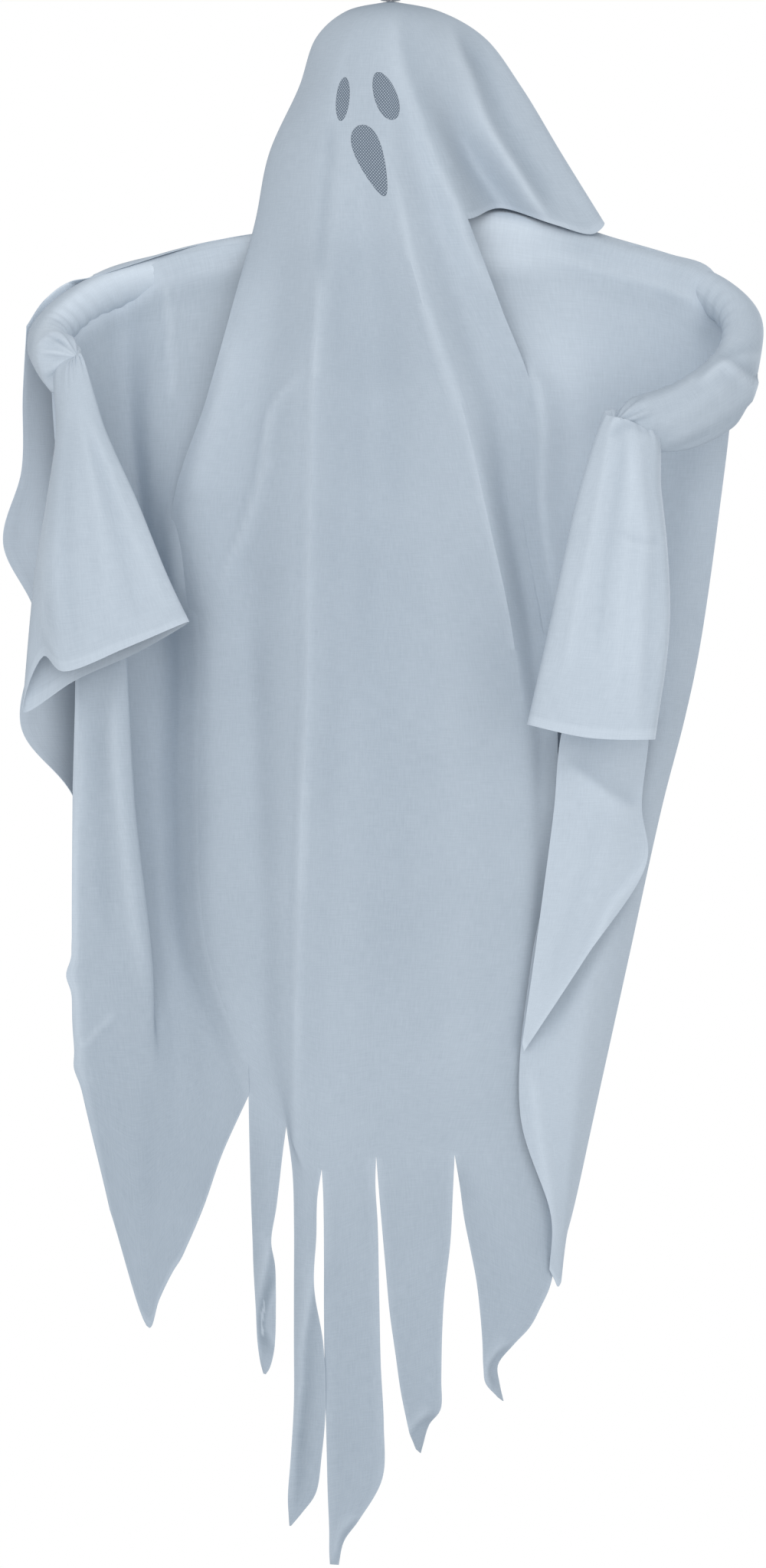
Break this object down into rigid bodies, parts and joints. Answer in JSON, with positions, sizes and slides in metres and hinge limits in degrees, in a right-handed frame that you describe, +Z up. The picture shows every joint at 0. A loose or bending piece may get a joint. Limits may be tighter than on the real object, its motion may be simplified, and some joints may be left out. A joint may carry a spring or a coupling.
{
  "type": "hanging ghost decoration",
  "caption": "Hanging cloth ghost with a hooded foam head, net-filled face openings, posable sleeved arms with bell cuffs, and a long robe with a tattered hem, hung from a steel eye.",
  "frame": {"origin": "inside top of the hanging eye, where a hook bears", "axes": "+Z up, -Y the way the face looks, +X towards the ghost's left arm, which is on the right in a front view"},
  "size_m": [0.8879, 0.3577, 1.8467],
  "materials": {
    "cloth": "fine white gauze, matte",
    "net": "grey knitted net, matte",
    "foam": "white expanded foam",
    "steel": "zinc-plated wire",
    "wood": "plain softwood dowel",
    "plastic": "moulded, matte"
  },
  "bodies": {
    "ghost": {"hang_eye": "steel", "crown_washer": "plastic", "head_ball": "foam", "neck_rod": "wood", "head_collar": "plastic", "collar_screw": "steel", "shoulder_hub": "plastic", "rod_screw": "steel", "left_hub_screw": "steel", "right_hub_screw": "steel", "left_upper_foam": "foam", "left_upper_wire": "steel", "left_elbow_pin": "steel", "left_sleeve_upper": "cloth", "right_upper_foam": "foam", "right_upper_wire": "steel", "right_elbow_pin": "steel", "right_sleeve_upper": "cloth", "left_eye_net": "net", "right_eye_net": "net", "mouth_net": "net", "veil": "cloth", "robe_left": "cloth", "robe_right": "cloth", "robe_back": "cloth", "right_cascade": "cloth"},
    "left_forearm": {"left_forearm_foam": "foam", "left_forearm_wire": "steel", "left_wire_cap": "plastic", "left_sleeve_lower": "cloth", "left_cuff": "cloth"},
    "right_forearm": {"right_forearm_foam": "foam", "right_forearm_wire": "steel", "right_wire_cap": "plastic", "right_sleeve_lower": "cloth", "right_cuff": "cloth"}
  },
  "joints": [
    {"name": "left_elbow", "type": "hinge", "parent": "ghost", "child": "left_forearm", "pos_m": [-0.394, -0.076, -0.414], "axis": [0, 0, 1], "range_deg": [-20, 25]},
    {"name": "right_elbow", "type": "hinge", "parent": "ghost", "child": "right_forearm", "pos_m": [0.407, -0.068, -0.402], "axis": [0, 0, 1], "range_deg": [-10, 20]}
  ]
}
